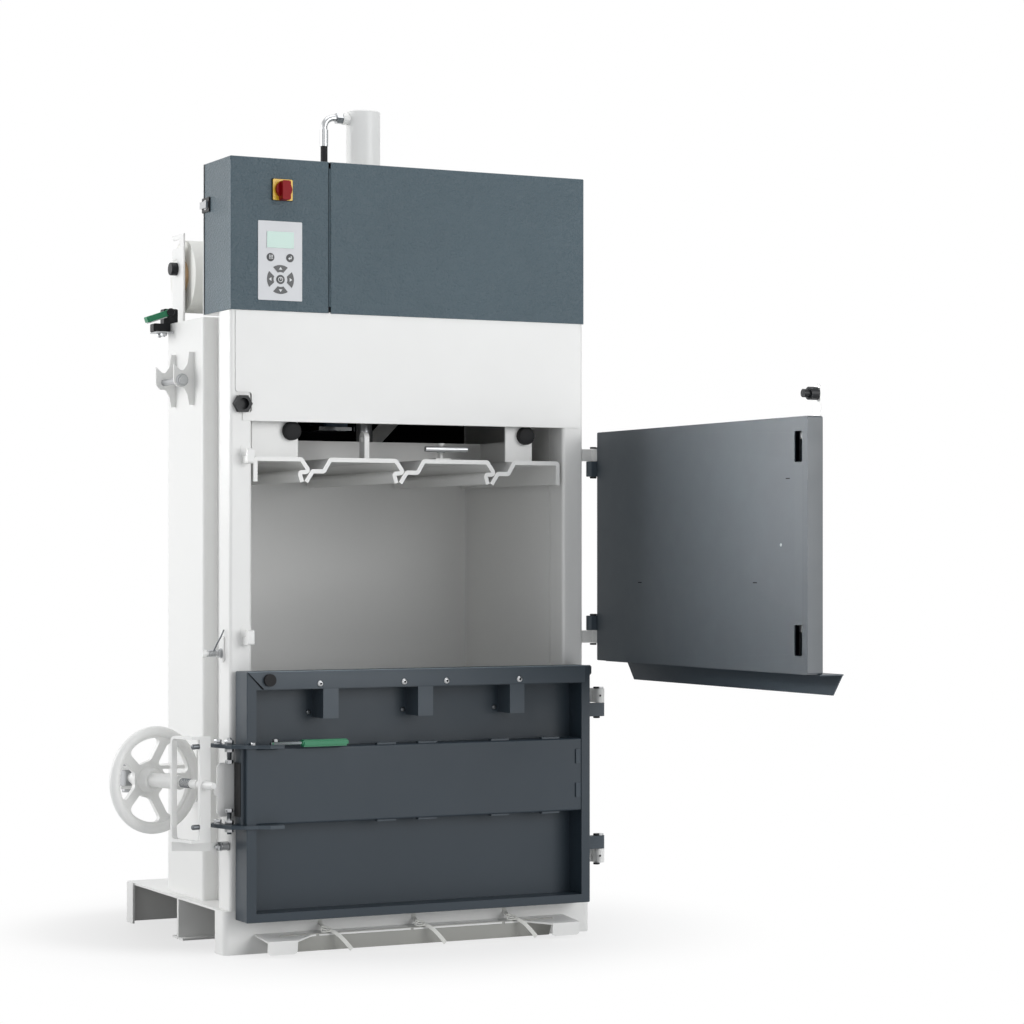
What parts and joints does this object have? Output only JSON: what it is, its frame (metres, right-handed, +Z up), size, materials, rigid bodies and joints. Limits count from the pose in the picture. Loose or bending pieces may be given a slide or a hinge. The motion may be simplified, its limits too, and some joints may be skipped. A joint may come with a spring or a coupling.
{
  "type": "recycling baler",
  "caption": "Upright waste press: open loading door, framed bale door with handwheel lock, folded press plate under a ram, control cabinet and strap rolls on top.",
  "frame": {"origin": "on the floor, centred in width, under the foot flange of the middle channel", "axes": "+Z up, -Y out of the front where waste is loaded, +X to the right seen from the front"},
  "size_m": [1.2577, 1.64, 1.985],
  "materials": {
    "white_paint": "semi-gloss powder coat",
    "dark_paint": "satin powder coat",
    "cabinet_paint": "fine textured powder coat",
    "zinc": "zinc plated",
    "polished_steel": "hard chrome",
    "black_rubber": "matte",
    "black_plastic": "matte",
    "grey_plastic": "matte",
    "panel_film": "satin film",
    "yellow_plastic": "gloss",
    "red_plastic": "gloss",
    "green_plastic": "matte",
    "motor_paint": "satin",
    "aluminium": "machined",
    "woven_strap": "woven polyester"
  },
  "bodies": {
    "frame": {"end_runners": "white_paint", "base_channels": "white_paint", "tie_shelf": "white_paint", "columns": "white_paint", "side_walls": "white_paint", "side_boxes": "white_paint", "rear_wall": "white_paint", "front_hood": "white_paint", "lock_guide_plate": "white_paint", "lock_bracket": "white_paint", "roll_brackets": "white_paint", "rest_brackets": "white_paint", "hinge_blocks": "white_paint", "head_beam": "white_paint", "cylinder_barrel": "white_paint", "cabinet_tray": "white_paint", "chamber_floor": "white_paint", "spring_catch": "white_paint", "cabinet_cover": "cabinet_paint", "port_elbow": "zinc", "hinge_pins": "zinc", "door_keepers": "zinc", "roll_shaft": "zinc", "hydraulic_hose": "black_rubber", "hex_socket": "black_plastic", "oil_tank": "black_plastic", "tensioner_body": "black_plastic", "control_box": "grey_plastic", "pump_motor": "motor_paint", "valve_block": "aluminium", "strap_tail_left": "woven_strap", "strap_tail_middle": "woven_strap", "strap_tail_right": "woven_strap"},
    "control_cover": {"control_cover": "cabinet_paint", "control_panel": "panel_film", "switch_plate": "yellow_plastic"},
    "switch_knob": {"switch_knob": "red_plastic"},
    "cover_latch": {"cover_latch": "zinc"},
    "platen": {"platen": "white_paint", "platen_beam": "white_paint", "guide_buffers": "black_rubber", "piston_rod": "polished_steel"},
    "t_handle": {"t_handle": "zinc"},
    "upper_door": {"upper_door": "dark_paint", "grip_strip": "dark_paint", "sensor_bracket": "white_paint", "door_sensor": "black_plastic"},
    "latch_bar": {"latch_bar": "zinc"},
    "lower_door": {"lower_door": "dark_paint", "strap_brackets": "dark_paint", "bumper": "black_rubber", "hook_arms": "dark_paint"},
    "lock_lever": {"lock_lever": "green_plastic"},
    "lock_carriage": {"pivot_block": "zinc"},
    "handwheel": {"handwheel": "white_paint"},
    "lock_yoke": {"lock_yoke": "white_paint"},
    "tensioner_lever": {"tensioner_lever": "green_plastic"},
    "strap_roll_left": {"strap_roll_left": "woven_strap"},
    "strap_roll_middle": {"strap_roll_middle": "woven_strap"},
    "strap_roll_right": {"strap_roll_right": "woven_strap"}
  },
  "joints": [
    {"name": "control_cover_swing", "type": "hinge", "parent": "frame", "child": "control_cover", "pos_m": [-0.21, -0.3045, 1.64], "axis": [0, 0, 1], "range_deg": [0, 95]},
    {"name": "switch_turn", "type": "hinge", "parent": "control_cover", "child": "switch_knob", "pos_m": [-0.329, -0.311, 1.743], "axis": [0, 1, 0], "range_deg": [0, 90]},
    {"name": "cover_latch_turn", "type": "hinge", "parent": "control_cover", "child": "cover_latch", "pos_m": [-0.4555, -0.1565, 1.718], "axis": [1, 0, 0], "range_deg": [0, 90]},
    {"name": "platen_slide", "type": "slide", "parent": "frame", "child": "platen", "axis": [0, 0, 1], "range_m": [-0.46, 0]},
    {"name": "t_handle_swing", "type": "hinge", "parent": "platen", "child": "t_handle", "pos_m": [0.094, -0.2625, 1.1575], "axis": [0, 0, 1], "range_deg": [0, 90]},
    {"name": "upper_door_swing", "type": "hinge", "parent": "frame", "child": "upper_door", "pos_m": [0.492, -0.3185, 0.93], "axis": [0, 0, 1], "range_deg": [-90, 30]},
    {"name": "latch_slide", "type": "slide", "parent": "upper_door", "child": "latch_bar", "axis": [0, 0, 1], "range_m": [-0.018, 0]},
    {"name": "lower_door_swing", "type": "hinge", "parent": "frame", "child": "lower_door", "pos_m": [0.492, -0.3185, 0.37], "axis": [0, 0, 1], "range_deg": [0, 90]},
    {"name": "lock_lever_swing", "type": "hinge", "parent": "lower_door", "child": "lock_lever", "pos_m": [-0.38, -0.3945, 0.484], "axis": [0, 0, -1], "range_deg": [0, 90]},
    {"name": "lock_swing", "type": "hinge", "parent": "frame", "child": "lock_carriage", "pos_m": [-0.60387, -0.02384, 0.39], "axis": [0, 0, -1], "range_deg": [-1.5, 60]},
    {"name": "handwheel_turn", "type": "hinge", "parent": "lock_carriage", "child": "handwheel", "pos_m": [-0.573, -0.1315, 0.39], "axis": [0.2756, -0.9613, 0], "range_deg": [-540, 1800]},
    {"name": "yoke_slide", "type": "slide", "parent": "lock_carriage", "child": "lock_yoke", "axis": [0.2756, -0.9613, 0], "range_m": [-0.0061, 0.0201]},
    {"name": "tensioner_swing", "type": "hinge", "parent": "frame", "child": "tensioner_lever", "pos_m": [-0.447, 0.121, 1.491], "axis": [0, 1, 0], "range_deg": [0, 70]},
    {"name": "strap_roll_left_spin", "type": "hinge", "parent": "frame", "child": "strap_roll_left", "pos_m": [-0.285, 0.1935, 1.5865], "axis": [1, 0, 0], "continuous": true},
    {"name": "strap_roll_middle_spin", "type": "hinge", "parent": "frame", "child": "strap_roll_middle", "pos_m": [0, 0.1935, 1.5865], "axis": [1, 0, 0], "continuous": true},
    {"name": "strap_roll_right_spin", "type": "hinge", "parent": "frame", "child": "strap_roll_right", "pos_m": [0.285, 0.1935, 1.5865], "axis": [1, 0, 0], "continuous": true}
  ],
  "couplings": [
    {"joint": "yoke_slide", "follows": "handwheel_turn", "m_per_rad": 0.00063662}
  ]
}
